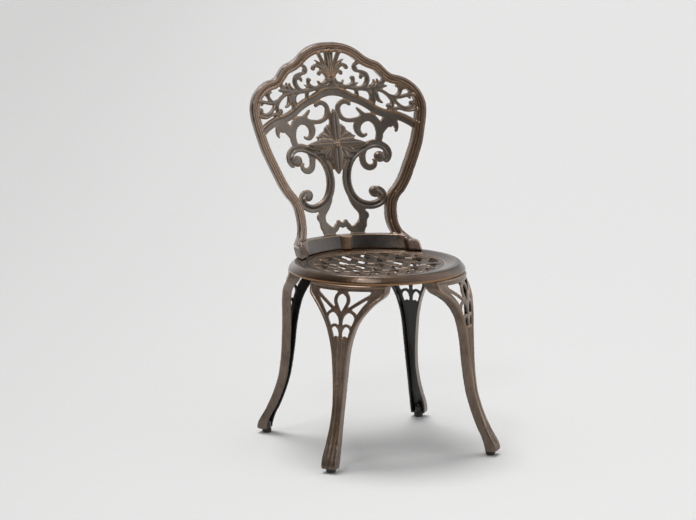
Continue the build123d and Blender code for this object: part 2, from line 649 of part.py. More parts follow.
with BuildPart() as leg:
    add([leg_plate.part, leg_flange.part, leg_bead.part, leg_fixings.part])
    with BuildSketch(Plane.XY.offset(GLIDE_HEIGHT)):
        with Locations((FOOT_RADIUS, 0)):
            Circle(STUD_RADIUS + RUNNING_CLEARANCE)
    extrude(amount=FOOT_BOSS_HEIGHT, mode=Mode.SUBTRACT)
    with BuildSketch(Plane.XY.offset(LEG_TOP - LEG_LUG_THICKNESS)):
        with Locations((LEG_LUG_RADIAL, -LEG_LUG_T), (LEG_LUG_RADIAL, LEG_LUG_T)):
            Circle(BOLT_HOLE_RADIUS)
    extrude(amount=LEG_LUG_THICKNESS, mode=Mode.SUBTRACT)

# Levelling glide: a round pad with a threaded stud set into it
with BuildPart() as pad:
    Cylinder(GLIDE_RADIUS, GLIDE_HEIGHT, align=(Align.CENTER, Align.CENTER, Align.MIN))
    chamfer(pad.edges().group_by(Axis.Z)[0], GLIDE_BEVEL)
    with BuildSketch(Plane.XY.offset(GLIDE_HEIGHT)):
        Circle(STUD_RADIUS)
    extrude(amount=-STUD_SET_IN, mode=Mode.SUBTRACT)

with BuildPart() as stud:
    with Locations((0, 0, GLIDE_HEIGHT - STUD_SET_IN)):
        Cylinder(STUD_RADIUS, STUD_LENGTH, align=(Align.CENTER, Align.CENTER, Align.MIN))
    chamfer(stud.edges().group_by(Axis.Z)[-1], STUD_RADIUS / 4)

pieces = {"seat": seat.part, "backrest": backrest.part}
for corner, angle in LEG_ANGLES.items():
    place = Pos(0, SEAT_AXIS_Y, 0) * Rot(0, 0, angle)
    pieces["leg_" + corner] = place * leg.part
    pieces["glide_pad_" + corner] = place * Pos(FOOT_RADIUS, 0, 0) * pad.part
    pieces["glide_stud_" + corner] = place * Pos(FOOT_RADIUS, 0, 0) * stud.part


# Fasteners: hexagon screws driven up from below, each with a spring washer on a flat one
def fastener_set(places, bearing, grip):
    """Screws, washers and spring washers under a bearing face, gripping a height above it."""
    washer_face = bearing - WASHER_THICKNESS
    head_face = washer_face - SPRING_WASHER_THICKNESS
    with BuildPart() as bolts:
        with BuildSketch(level(head_face - BOLT_HEAD_HEIGHT)):
            with Locations(*places):
                RegularPolygon(BOLT_HEAD_FLATS / 2, 6, major_radius=False)
        extrude(amount=BOLT_HEAD_HEIGHT)
        with BuildSketch(level(head_face)):
            with Locations(*places):
                Circle(BOLT_RADIUS)
        extrude(amount=bearing + grip - head_face)
    with BuildPart() as washers:
        with BuildSketch(level(washer_face)):
            with Locations(*places):
                Circle(WASHER_RADIUS)
                Circle(BOLT_HOLE_RADIUS, mode=Mode.SUBTRACT)
        extrude(amount=WASHER_THICKNESS)
    with BuildPart() as spring_washers:
        with BuildSketch(level(head_face)):
            with Locations(*places):
                Circle(SPRING_WASHER_RADIUS)
                Circle(BOLT_HOLE_RADIUS, mode=Mode.SUBTRACT)
                with Locations((SPRING_WASHER_RADIUS / 2, 0)):
                    Rectangle(SPRING_WASHER_RADIUS, SPRING_WASHER_GAP, mode=Mode.SUBTRACT)
        extrude(amount=SPRING_WASHER_THICKNESS)
    return bolts.part, washers.part, spring_washers.part


leg_set = fastener_set(leg_bolt_places, LEG_TOP - LEG_LUG_THICKNESS, LEG_LUG_THICKNESS + BOLT_GRIP)
back_set = fastener_set(back_bolt_places, RING_UNDERSIDE, SEAT_HEIGHT - RING_UNDERSIDE + BACK_BOLT_DEPTH)
for owner, fasteners in (("leg", leg_set), ("back", back_set)):
    for kind, group in zip(("bolts", "washers", "spring_washers"), fasteners):
        pieces[owner + "_" + kind] = group

os.makedirs("parts", exist_ok=True)
for name, piece in pieces.items():
    piece.label = name
    export_step(piece, "parts/" + name + ".step")
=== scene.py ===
import math
import bmesh
import bpy
import numpy as np
from mathutils import Matrix, Vector, kdtree


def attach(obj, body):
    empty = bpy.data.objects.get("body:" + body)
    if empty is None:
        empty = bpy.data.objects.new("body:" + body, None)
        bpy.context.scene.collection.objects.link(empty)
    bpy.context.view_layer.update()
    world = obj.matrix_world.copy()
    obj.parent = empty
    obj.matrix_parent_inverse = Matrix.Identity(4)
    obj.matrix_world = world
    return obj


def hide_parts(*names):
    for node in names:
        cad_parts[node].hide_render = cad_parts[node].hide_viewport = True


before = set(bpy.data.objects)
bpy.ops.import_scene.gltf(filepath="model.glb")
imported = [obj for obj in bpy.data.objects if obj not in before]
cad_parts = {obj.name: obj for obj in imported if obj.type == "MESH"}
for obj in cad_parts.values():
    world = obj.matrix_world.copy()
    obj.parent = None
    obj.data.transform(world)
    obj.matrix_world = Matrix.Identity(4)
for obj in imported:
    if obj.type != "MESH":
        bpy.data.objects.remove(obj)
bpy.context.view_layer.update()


# Seat: a round tray cast in aluminium, with a flared rim and a dished lattice that looks woven.
# Sand and fettling leave every edge soft. It is painted antique bronze and rubbed back by hand,
# so the flats are grey brown and the raised edges copper, and the hollows are painted nearly black as shade.
def colour(code):
    """Linear colour of an sRGB hex value."""
    parts = [int(code[i:i + 2], 16) / 255 for i in (1, 3, 5)]
    return [c / 12.92 if c <= 0.04045 else ((c + 0.055) / 1.055) ** 2.4 for c in parts] + [1.0]


def add_node(material, kind, links=(), **settings):
    """Adds a node with its settings, and links sockets of earlier nodes to its inputs."""
    node = material.node_tree.nodes.new(kind)
    for name, value in settings.items():
        if name.startswith("in_"):
            key = name[3:]
            node.inputs[int(key) if key.isdigit() else key.replace("_", " ")].default_value = value
        else:
            setattr(node, name, value)
    for socket, target in links:
        material.node_tree.links.new(socket, node.inputs[target])
    return node


def apply_modifier(piece, kind, **settings):
    """Adds a modifier to a piece and applies it."""
    modifier = piece.modifiers.new(kind.title(), kind)
    for name, value in settings.items():
        setattr(modifier, name, value)
    bpy.context.view_layer.objects.active = piece
    bpy.ops.object.modifier_apply(modifier=modifier.name)


def read_points(mesh, field="co"):
    """Places or normals of a mesh's points, one row each."""
    values = np.empty(len(mesh.vertices) * 3, np.float32)
    mesh.vertices.foreach_get(field, values)
    return values.reshape(-1, 3)


def move_points(mesh, places):
    """Puts a mesh's points at new places, one row each."""
    mesh.vertices.foreach_set("co", places.astype(np.float32).ravel())


def store(mesh, name, values):
    """Keeps one number for each point, for the paint to read."""
    mesh.attributes.new(name, "FLOAT", "POINT").data.foreach_set("value", values.astype(np.float32))


def soften(piece, name, chosen, passes):
    """Dresses the chosen points of a piece smooth."""
    group = piece.vertex_groups.new(name=name)
    group.add([int(index) for index in np.flatnonzero(chosen)], 1.0, "REPLACE")
    apply_modifier(piece, "SMOOTH", factor=0.5, iterations=passes, vertex_group=name)


def ramp(value, start, end):
    """Share of the way from start to end, held between 0 and 1."""
    return np.clip((value - start) / (end - start), 0, 1)


def half_round(away):
    """Section of a half-round rib, 1 on its middle and 0 from its edge on."""
    return np.sqrt(np.clip(1 - away ** 2, 0, 1))


# an edge this sharp is rubbed: fully within the core, and not at all from the reach on
EDGE_ANGLE, EDGE_STEP = math.radians(38), 0.001
WORN_REACH, WORN_CORE = 0.0028, 0.0008
RELIEF_REACH = 0.016


def edge_tree(mesh):
    """Points a millimetre apart along every sharp outer edge of a mesh, ready to be searched."""
    shape = bmesh.new()
    shape.from_mesh(mesh)
    points = []
    for edge in shape.edges:
        if edge.is_manifold and edge.calc_face_angle_signed() > EDGE_ANGLE:
            start, end = edge.verts[0].co, edge.verts[1].co
            count = int((end - start).length / EDGE_STEP) + 1
            points += [start.lerp(end, step / count) for step in range(count + 1)]
    shape.free()
    tree = kdtree.KDTree(len(points))
    for index, point in enumerate(points):
        tree.insert(point, index)
    tree.balance()
    return tree


def mark_relief(piece, passes):
    """Stores how far each point stands proud of its surroundings or lies below them, in millimetres."""
    blur = piece.modifiers.new("Blur", "SMOOTH")
    blur.factor = 0.6
    blur.iterations = passes
    blurred = piece.evaluated_get(bpy.context.evaluated_depsgraph_get()).to_mesh()
    there = read_points(blurred)
    piece.modifiers.remove(blur)
    proud = ((read_points(piece.data) - there) * read_points(piece.data, "normal")).sum(1) * 1000
    store(piece.data, "relief", proud)


def casting_from(node, name, grain, dress, beads=(), cutter=None):
    """A casting in the node's shape, cut and with beads run into it, softened all over and then dressed."""
    bpy.ops.object.select_all(action="DESELECT")
    piece = bpy.data.objects.new(name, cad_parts[node].data.copy())
    bpy.context.scene.collection.objects.link(piece)
    piece.select_set(True)
    bpy.context.view_layer.objects.active = piece
    bpy.ops.object.mode_set(mode="EDIT")
    bpy.ops.mesh.select_all(action="SELECT")
    bpy.ops.mesh.remove_doubles(threshold=0.00002)
    bpy.ops.object.mode_set(mode="OBJECT")
    edges = edge_tree(piece.data)
    if cutter:
        apply_modifier(piece, "BOOLEAN", object=cutter, operation="DIFFERENCE", solver="EXACT")
        bpy.data.objects.remove(cutter)
    for bead in beads:
        bead.select_set(True)
    if beads:
        bpy.ops.object.join()
    apply_modifier(piece, "REMESH", mode="VOXEL", voxel_size=grain, adaptivity=0.0)
    apply_modifier(piece, "SMOOTH", factor=0.5, iterations=2)
    bpy.ops.object.shade_smooth()
    distance = np.array([edges.find(point)[2] for point in read_points(piece.data)])
    store(piece.data, "wear_and_highlights", dress(piece, ramp(distance, WORN_REACH, WORN_CORE)))
    mark_relief(piece, int(RELIEF_REACH / grain))
    return piece


def split_casting(piece, name, chosen):
    """Cuts the chosen points' faces off a casting as a piece of its own, with the shading unbroken."""
    mesh = piece.data
    mesh.attributes.new("facing", "FLOAT_VECTOR", "POINT").data.foreach_set(
        "vector", read_points(mesh, "normal").ravel())
    corners = np.empty(len(mesh.loops), np.int32)
    mesh.loops.foreach_get("vertex_index", corners)
    starts = np.empty(len(mesh.polygons), np.int32)
    mesh.polygons.foreach_get("loop_start", starts)
    mesh.vertices.foreach_set("select", np.zeros(len(mesh.vertices), bool))
    mesh.edges.foreach_set("select", np.zeros(len(mesh.edges), bool))
    mesh.polygons.foreach_set("select", chosen[corners[starts]])
    bpy.ops.object.select_all(action="DESELECT")
    piece.select_set(True)
    bpy.context.view_layer.objects.active = piece
    bpy.context.tool_settings.mesh_select_mode = (False, False, True)
    bpy.ops.object.mode_set(mode="EDIT")
    bpy.ops.mesh.separate(type="SELECTED")
    bpy.ops.object.mode_set(mode="OBJECT")
    other = next(made for made in bpy.context.selected_objects if made != piece)
    other.name = name
    for cut in (piece, other):
        facing = np.empty(len(cut.data.vertices) * 3, np.float32)
        cut.data.attributes["facing"].data.foreach_get("vector", facing)
        cut.data.attributes.remove(cut.data.attributes["facing"])
        cut.data.normals_split_custom_set_from_vertices(facing.reshape(-1, 3))
    return other


def antique_bronze(name, flat, shade, copper, hollow_shade, rub=0.45, polish=0.24, metal=0.6, coat=0.4,
                   streaks=(1, 1, 1), inside=None):
    """Bronze powder paint on cast aluminium, rubbed to copper on what stands proud and along lines, some of
    them painted highlights, with painted shade in the hollows and on any marked inside.
    """
    paint = bpy.data.materials.new(name)
    paint.use_nodes = True
    shader = paint.node_tree.nodes["Principled BSDF"]
    shader.inputs["Metallic"].default_value = metal
    # the clear lacquer on top gives small bright glints over the satin paint
    shader.inputs["Coat Weight"].default_value = coat
    shader.inputs["Coat Roughness"].default_value = 0.09
    place = add_node(paint, "ShaderNodeTexCoord")
    drawn = add_node(paint, "ShaderNodeMapping", [(place.outputs["Object"], "Vector")], in_Scale=streaks)
    # cloudy patches about 30 mm across from the rubbing cloth, flecks of 5 mm, grain of 2 mm from the sand
    clouds = add_node(paint, "ShaderNodeTexNoise", [(place.outputs["Object"], "Vector")],
                      in_Scale=33.0, in_Detail=3.0, in_Roughness=0.6)
    flecks = add_node(paint, "ShaderNodeTexNoise", [(drawn.outputs[0], "Vector")],
                      in_Scale=200.0, in_Detail=3.0, in_Roughness=0.65)
    grain = add_node(paint, "ShaderNodeTexNoise", [(place.outputs["Object"], "Vector")],
                     in_Scale=480.0, in_Detail=3.0)
    patch = add_node(paint, "ShaderNodeMath", [(clouds.outputs["Fac"], 0), (flecks.outputs["Fac"], 1)],
                     operation="ADD")
    mottle = add_node(paint, "ShaderNodeMapRange", [(patch.outputs[0], "Value")],
                      in_From_Min=0.7, in_From_Max=1.3)
    flats = add_node(paint, "ShaderNodeMix", [(mottle.outputs[0], "Factor")], data_type="RGBA",
                     in_6=colour(flat), in_7=colour(shade))
    # the cloth breaks up the copper lines, both wear and painted highlight, so the flecks shift where they
    # and the painted shade of the hollows start
    relief = add_node(paint, "ShaderNodeAttribute", attribute_name="relief")
    wear_and_highlights = add_node(paint, "ShaderNodeAttribute", attribute_name="wear_and_highlights")
    shift = add_node(paint, "ShaderNodeMath", [(flecks.outputs["Fac"], 0)], operation="MULTIPLY_ADD",
                     in_1=0.7, in_2=-0.35)
    height = add_node(paint, "ShaderNodeMath", [(relief.outputs["Fac"], 0), (shift.outputs[0], 1)],
                      operation="ADD")
    line = add_node(paint, "ShaderNodeMath", [(wear_and_highlights.outputs["Fac"], 0), (shift.outputs[0], 1)],
                    operation="ADD")
    # heights in millimetres: the cloth takes what stands a third proud, and what lies a third below is
    # darkened as painted shade
    ridges = add_node(paint, "ShaderNodeMapRange", [(height.outputs[0], "Value")],
                      interpolation_type="SMOOTHSTEP", in_From_Min=0.35, in_From_Max=1.25, in_To_Max=rub)
    lines = add_node(paint, "ShaderNodeMapRange", [(line.outputs[0], "Value")],
                     interpolation_type="SMOOTHSTEP", in_From_Min=0.3, in_From_Max=0.95, in_To_Max=0.8)
    rubbed = add_node(paint, "ShaderNodeMath", [(ridges.outputs[0], 0), (lines.outputs[0], 1)],
                      operation="MAXIMUM")
    # painted shade: what lies below its surroundings is darkened towards the hollow colour, in place of the
    # shade there
    painted_hollow_shade = add_node(paint, "ShaderNodeMapRange", [(height.outputs[0], "Value")],
                    interpolation_type="SMOOTHSTEP", in_From_Min=-0.3, in_From_Max=-1.1)
    edged = add_node(paint, "ShaderNodeMix", [(rubbed.outputs[0], "Factor"), (flats.outputs[2], 6)],
                     data_type="RGBA", in_7=colour(copper))
    last = add_node(paint, "ShaderNodeMix", [(painted_hollow_shade.outputs[0], "Factor"), (edged.outputs[2], 6)],
                    data_type="RGBA", in_7=colour(hollow_shade))
    # painted shade: where the inside is marked, the paint is darkened to the inside colour
    if inside:
        channel_shade = add_node(paint, "ShaderNodeAttribute", attribute_name="inside")
        last = add_node(paint, "ShaderNodeMix", [(channel_shade.outputs["Fac"], "Factor"), (last.outputs[2], 6)],
                        data_type="RGBA", in_7=colour(inside))
    paint.node_tree.links.new(last.outputs[2], shader.inputs["Base Color"])
    gloss = add_node(paint, "ShaderNodeMapRange", [(height.outputs[0], "Value")],
                     in_From_Min=-0.8, in_From_Max=0.9, in_To_Min=polish + 0.2, in_To_Max=polish)
    paint.node_tree.links.new(gloss.outputs[0], shader.inputs["Roughness"])
    bump = add_node(paint, "ShaderNodeBump", [(grain.outputs["Fac"], "Height")],
                    in_Strength=0.1, in_Distance=0.0004)
    paint.node_tree.links.new(bump.outputs[0], shader.inputs["Normal"])
    return paint


def finish_casting(piece, paint, node):
    """Paints a finished piece, hides the node's own part, and hands it to the chair."""
    piece.data.materials.clear()
    piece.data.materials.append(paint)
    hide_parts(node)
    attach(piece, "chair")


SEAT_AXIS = Vector((0, -0.0427, 0))
SEAT_GRAIN = 0.00135
STEP_RADIUS = 0.151
LIP_RADIUS, LIP_HEIGHT, LIP_PASSES = 0.174, 0.404, 5
# roll on the rim's flared face: inner radius, height of its middle, half its height, swelling, its way
RIM_INSIDE, RIM_MIDDLE, RIM_REACH, RIM_BULGE = 0.182, 0.4105, 0.009, 0.0024
RIM_OUT, RIM_UP = 0.76, 0.65
RIM_FACING = (1 / 3, 1)


def dress_seat(piece, wear_and_highlights):
    """Rounds off the lip of the seat's rim and swells its flared face to a roll."""
    away = read_points(piece.data) - np.array(SEAT_AXIS)
    on_lip = (np.hypot(away[:, 0], away[:, 1]) > LIP_RADIUS) & (away[:, 2] > LIP_HEIGHT)
    soften(piece, "lip", on_lip, LIP_PASSES)
    points = read_points(piece.data)
    away = points - np.array(SEAT_AXIS)
    radius = np.hypot(away[:, 0], away[:, 1])
    out = away[:, :2] / radius[:, None] * RIM_OUT
    way = np.stack([out[:, 0], out[:, 1], np.full(len(points), RIM_UP)], 1)
    facing = ramp((read_points(piece.data, "normal") * way).sum(1), *RIM_FACING)
    bulge = RIM_BULGE * half_round((away[:, 2] - RIM_MIDDLE) / RIM_REACH) * facing * (radius > RIM_INSIDE)
    move_points(piece.data, points + bulge[:, None] * way)
    return wear_and_highlights


seat_rim = casting_from("seat", "seat_rim", SEAT_GRAIN, dress_seat)
seat_points = read_points(seat_rim.data) - np.array(SEAT_AXIS)
in_ring = np.hypot(seat_points[:, 0], seat_points[:, 1]) < STEP_RADIUS
seat_lattice = split_casting(seat_rim, "seat_lattice", in_ring)
rim_paint = antique_bronze("bronze_rim", "#56412e", "#3a2b1e", "#98714a", "#15110d",
                           rub=0.5, polish=0.14, coat=0.2)
lattice_paint = antique_bronze("bronze_lattice", "#524940", "#39312a", "#7a6047", "#15110e",
                               rub=0.3, polish=0.34, coat=0.2)
for piece, paint in ((seat_rim, rim_paint), (seat_lattice, lattice_paint)):
    finish_casting(piece, paint, "seat")

# Legs: four cabriole castings of channel section, pierced under the apron and open at the back.
# The paint is browner here, brushed down the leg, and the inside of the channel is painted nearly black as
# shade.
# One leg is dressed and the other three are its turned copies.
LEG_TURNS = {"front_left": 225, "front_right": 315, "rear_right": 45, "rear_left": 135}
LEG_GRAIN = 0.0012
LEG_AXIS_RADIUS = 0.062
OPENWORK_FOOT, OPENWORK_PASSES = 0.27, 4
FOOT_RADIUS, FOOT_BOSS = 0.271, 0.0115
TOE_TOP, TOE_REAR, TOE_PASSES = 0.062, -0.1, 40
TOE_RISE, TOE_MIDDLE, TOE_REACH = 0.0035, 0.02, 0.03
TOE_WEAR, SHAFT_WEAR = 0.3, 0.65


def dress_leg(piece, wear_and_highlights):
    """Rounds a leg off, softens its openwork, smooths and swells its toe, and leaves few rubbed lines."""
    apply_modifier(piece, "SMOOTH", factor=0.5, iterations=2)
    angle = math.radians(LEG_TURNS["front_left"])
    way = np.array((math.cos(angle), math.sin(angle), 0))
    points = read_points(piece.data)
    height = points[:, 2]
    from_stud = points - np.array(SEAT_AXIS) - way * FOOT_RADIUS
    on_toe = (height < TOE_TOP) & (np.hypot(from_stud[:, 0], from_stud[:, 1]) > FOOT_BOSS)
    on_toe &= read_points(piece.data, "normal") @ way > TOE_REAR
    soften(piece, "openwork", height > OPENWORK_FOOT, OPENWORK_PASSES)
    soften(piece, "toe", on_toe, TOE_PASSES)
    points, facing = read_points(piece.data), read_points(piece.data, "normal")
    rounding = 0.5 + 0.5 * np.cos(math.pi * np.clip((points[:, 2] - TOE_MIDDLE) / TOE_REACH, -1, 1))
    swell = TOE_RISE * rounding * np.clip(facing @ way, 0, 1)
    move_points(piece.data, points + swell[:, None] * way)
    return wear_and_highlights * np.where(height < TOE_TOP, TOE_WEAR, SHAFT_WEAR)


# the channel's inside lies this far behind the front of its slice, and is turned inwards this much
SLICE = 0.006
BEHIND_FRONT, BEHIND_WALLS = (0.0025, 0.004), (0.007, 0.009)
TURNED_IN = (0.2, 0.5)


def mark_channel_shade(mesh):
    """Stores which points of the first leg lie inside its channel, where painted shade darkens the paint."""
    turn = np.array(Matrix.Rotation(-math.radians(LEG_TURNS["front_left"]), 3, "Z"))
    local = (read_points(mesh) - np.array(SEAT_AXIS)) @ turn.T
    facing = read_points(mesh, "normal") @ turn.T
    out = np.stack([local[:, 0] - LEG_AXIS_RADIUS, local[:, 1]], 1)
    reach = np.hypot(out[:, 0], out[:, 1])
    level = (local[:, 2] / SLICE).astype(int)
    front = np.zeros(level.max() + 1)
    np.maximum.at(front, level, reach)
    depth = front[level] - reach
    inward = ramp(-(facing[:, :2] * out).sum(1) / reach, *TURNED_IN)
    sideways = ramp(-facing[:, 1] * np.sign(local[:, 1]), *TURNED_IN)
    store(mesh, "inside", np.maximum(
        inward * ramp(depth, *BEHIND_FRONT), sideways * ramp(depth, *BEHIND_WALLS)))


first_leg = casting_from("leg_front_left", "leg_casting_front_left", LEG_GRAIN, dress_leg)
mark_channel_shade(first_leg.data)
# the inside colour is painted shade for the channel's inside
leg_paint = antique_bronze("bronze_leg", "#7c6a5b", "#594a3e", "#9c7857", "#231b15",
                           streaks=(1, 1, 0.2), inside="#2c2b28")
for corner, angle in LEG_TURNS.items():
    leg = first_leg
    if corner != "front_left":
        leg = bpy.data.objects.new("leg_casting_" + corner, first_leg.data.copy())
        bpy.context.scene.collection.objects.link(leg)
        leg.data.transform(
            Matrix.Translation(SEAT_AXIS)
            @ Matrix.Rotation(math.radians(angle - LEG_TURNS["front_left"]), 4, "Z")
            @ Matrix.Translation(-SEAT_AXIS))
    finish_casting(leg, leg_paint, "leg_" + corner)

# Back: one pierced casting, a moulded frame round scrolls, a flower and a crest of foliage. It follows
# part of a cone, and half-round beads, ribs and veins are run into its face before it is cast.
# It is kept as three pieces, cut along the frame's inner edge and under the cross band.
BACK_GRAIN = 0.0015
SEAT_HEIGHT = 0.418
# the cone: its lean and opening; the rail's front on it: height over the seat, bow, place behind the axis
LEAN, OPENING = math.radians(12.9), math.radians(54.5)
RAIL_RISE, RAIL_BOW, RAIL_BEHIND = 0.031, 0.185, 0.190
APEX_Z = SEAT_HEIGHT + RAIL_RISE - RAIL_BOW / math.tan(OPENING)
APEX_Y = SEAT_AXIS.y + RAIL_BEHIND - (SEAT_HEIGHT + RAIL_RISE - APEX_Z) * math.tan(LEAN)


def on_face(x, z, proud):
    """Point at a place in front view and a height over the back's face; all in millimetres but the result."""
    x, rise = x / 1000, SEAT_HEIGHT + z / 1000 - APEX_Z
    tilt = OPENING - LEAN
    a = math.sin(tilt) ** 2 - math.cos(OPENING) ** 2
    b = -2 * math.sin(tilt) * math.cos(tilt) * rise
    c = math.cos(tilt) ** 2 * rise ** 2 - math.cos(OPENING) ** 2 * (x ** 2 + rise ** 2)
    back = (-b - math.sqrt(b * b - 4 * a * c)) / (2 * a)
    return (x, APEX_Y + back - proud / 1000, SEAT_HEIGHT + z / 1000)


def run_beads(name, lines):
    """Half-round beads of given widths and heights along lines of the right half, and their mirror images."""
    curve = bpy.data.curves.new(name, "CURVE")
    curve.dimensions = "3D"
    curve.bevel_depth = 0.001
    curve.bevel_resolution = 2
    curve.resolution_u = 6
    curve.use_fill_caps = True
    for line, width, proud in lines:
        for side in (1, -1):
            spline = curve.splines.new("NURBS")
            spline.points.add(len(line) - 1)
            for point, (x, z) in zip(spline.points, line):
                point.co = (*on_face(side * x, z, proud - width / 2), 1)
                point.radius = width / 2
            spline.order_u = 3
            spline.use_endpoint_u = True
    bead = bpy.data.objects.new(name, curve)
    bpy.context.scene.collection.objects.link(bead)
    bpy.ops.object.select_all(action="DESELECT")
    bead.select_set(True)
    bpy.context.view_layer.objects.active = bead
    bpy.ops.object.convert(target="MESH")
    return bpy.context.view_layer.objects.active


def inset(line, distance):
    """A line moved sideways, to its right-hand side."""
    moved = []
    for index, (x, z) in enumerate(line):
        ahead, behind = line[min(index + 1, len(line) - 1)], line[max(index - 1, 0)]
        run = math.hypot(ahead[0] - behind[0], ahead[1] - behind[1])
        sideways, down = (ahead[1] - behind[1]) / run, (ahead[0] - behind[0]) / run
        moved.append((x + sideways * distance, z - down * distance))
    return moved


# lines in front view: distance from the middle plane and height over the seat, with widths, in millimetres
FRAME_EDGE = [
    (0, 463), (22, 462), (42, 457.5), (60, 450), (75, 439.5), (88, 428.5), (101, 421.5), (113, 417.5),
    (122, 412), (131, 402), (139, 393), (147, 387.5), (158, 384.8), (171, 381), (184, 374), (195, 365),
    (204.5, 353.5), (211.5, 339.5), (215.3, 325), (215.5, 309), (212, 288), (205, 259), (197, 231),
    (185, 202), (170, 169.5), (156, 141.5), (143, 122.5), (132, 110), (126, 98), (123, 82), (122.3, 68),
    (124, 50), (128.5, 38.5), (137, 29.5), (144, 22)]
BAND = [
    (0, 352), (20, 350), (40, 339.5), (70, 328), (100, 309), (120, 299.5), (145, 294.5), (165, 287),
    (190, 271)]
# upright in the shape of an S, from its upper scroll to its lower one
UPRIGHT = [
    (116, 194), (122.5, 206), (117, 220), (104, 229), (87, 229), (67, 222.5), (48, 211.5), (34, 197),
    (24.5, 178), (20.3, 155), (21.5, 138), (27, 121), (38, 105.5), (54, 96), (72, 93), (88, 97), (99, 107),
    (100.5, 119), (92, 128)]
# foliage of the crest: stem and thorns, branches with their leaves, drops to the band, outer curls
FOLIAGE = [
    ([(10, 366), (30, 362.5), (52, 357.5), (75, 355.5), (98, 355.5), (115, 359), (132, 360)],
     [8, 9, 9, 10, 11, 12, 5]),
    ([(97, 360), (104, 368), (105, 375)], [9, 6, 3]),
    ([(109, 361), (113, 369), (112.5, 376)], [9, 6, 3]),
    ([(38, 361), (49, 365), (55.5, 372), (56, 379)], [8, 8, 8, 7]),
    ([(70, 357), (83, 362.5), (89, 373), (89, 384), (82, 391.5), (73, 394), (65, 396)],
     [8, 10, 11, 11, 11, 9, 5]),
    ([(85, 387), (76, 384), (74, 379)], [10, 9, 5]),
    ([(68, 413), (61, 408), (60, 401), (66, 395)], [8, 8, 8, 6]),
    ([(60, 355), (62, 347), (63, 339)], [10, 8, 6]),
    ([(80, 353), (91, 348), (95, 338), (92, 329)], [7, 7, 7, 6]),
    ([(100, 352), (107, 341), (111, 330), (119, 323)], [12, 12, 10, 5]),
    ([(100, 346), (101, 332), (99, 320)], [10, 9, 7]),
    ([(97, 355), (116, 351), (133, 341), (142, 328.5), (142.5, 316), (137, 310)], [8, 8, 8, 9, 9, 7]),
    ([(138, 340), (150, 335), (163, 334.5), (177, 338), (191, 341)], [5, 8, 8, 8, 8]),
    ([(154, 337), (162, 345), (164, 354), (157, 358.5)], [7, 8, 9, 6]),
    ([(147, 332), (154, 320.5), (166, 312), (179, 310.5), (187, 316)], [7, 7, 6.5, 7, 8]),
    ([(142, 307), (154, 309), (167, 305), (181, 303.5), (194, 308)], [8, 7, 6, 6, 7])]
# fronds of the palmette and the roots below its tie
FRONDS = [
    ([(0, 388), (0, 446)], [9, 8]),
    ([(3, 388), (5, 415), (7.5, 443)], [7, 7, 7]),
    ([(5, 388), (13, 413), (25.5, 439)], [7, 8, 9]),
    ([(6, 388), (17, 409), (34, 423)], [7, 7.5, 3]),
    ([(7, 386), (18, 402), (30, 411), (40, 408.5)], [7, 8.5, 8.5, 8]),
    ([(8, 384), (15, 393.5), (22, 397.5), (27.5, 395)], [6.5, 7, 6.5, 6]),
    ([(7, 382), (14, 373), (25, 369.5), (31, 376)], [9, 8, 7, 4]),
    ([(3, 380), (6, 370), (14, 362)], [7, 7, 5])]
TIE = [([(0, 387), (6, 386.5), (12, 385)], [5, 5]), ([(0, 381), (6, 380.5), (12, 379.5)], [5, 5])]
# eyes of the scrolls and curls: place and radius
EYES = [(102, 201, 10), (83, 123, 10.5), (54.5, 380, 5), (62, 402, 5), (134.5, 314.5, 5), (187, 320, 5)]
FLOWER_HEIGHT = 237
# petals of the flower: turn from level, length and width; lobes between them: turn, length and width
PETALS = [(90, 74, 26), (-90, 71, 27), (0, 71, 22)]
LOBES = [(59, 43, 19), (25, 44, 17), (-28, 44, 17), (-57, 40, 17)]
# half of a lobe's outline, from root to tip, as shares of its length and width
LOBE_OUTLINE = [(0, 0), (0.5, 0.42), (0.75, 0.5), (0.93, 0.34), (1, 0)]
TOP_PETAL = ([(0.01, 250), (0.01, 270), (0.01, 290), (0.01, 310)], [20, 26, 22, 3])
# openings beside the flower, cut clean, and flat bands that fill out the curls and the flower's lower side
OPENING_EDGE = [
    (14, 284), (14, 280), (19.5, 278.5), (25, 272), (26.5, 265), (30, 262.5), (37.5, 258.5), (42, 253.5),
    (50.5, 250.5), (49.5, 256), (45, 266), (43, 279), (34, 280), (24, 281)]
STRAPS = [
    ([(20, 325), (14.2, 318), (13.2, 309), (16, 299), (23, 291)], [7, 11, 12.5, 11.5, 8]),
    ([(12, 214), (12.5, 196), (13.5, 176)], [16, 12, 6]),
    ([(30, 214), (22, 198), (18, 184)], [8, 10, 8])]
# heights over the face of the front and rear of the bands, the lobes and the cut
STRAP_FACES, LOBE_FACES, CUT_FACES = (0, -7), (3.5, -6), (20, -20)
# mouldings of the frame, a fat outer roll and a thin inner one: distance from the edge, width and height
FRAME_ROLLS = [(7.0, 14.4, 10.4), (19.4, 5.6, 7.6)]


def smooth_line(line, steps=6):
    """Points closely spaced along a smooth line through the given ones."""
    ends = [line[0], *line, line[-1]]
    fine = []
    for before, start, end, after in zip(ends, ends[1:], ends[2:], ends[3:]):
        for share in np.arange(steps) / steps:
            fine.append([
                b + ((c - a) * share + (2 * a - 5 * b + 4 * c - d) * share ** 2
                     + (3 * b - a - 3 * c + d) * share ** 3) / 2
                for a, b, c, d in zip(before, start, end, after)])
    return np.array(fine + [line[-1]])


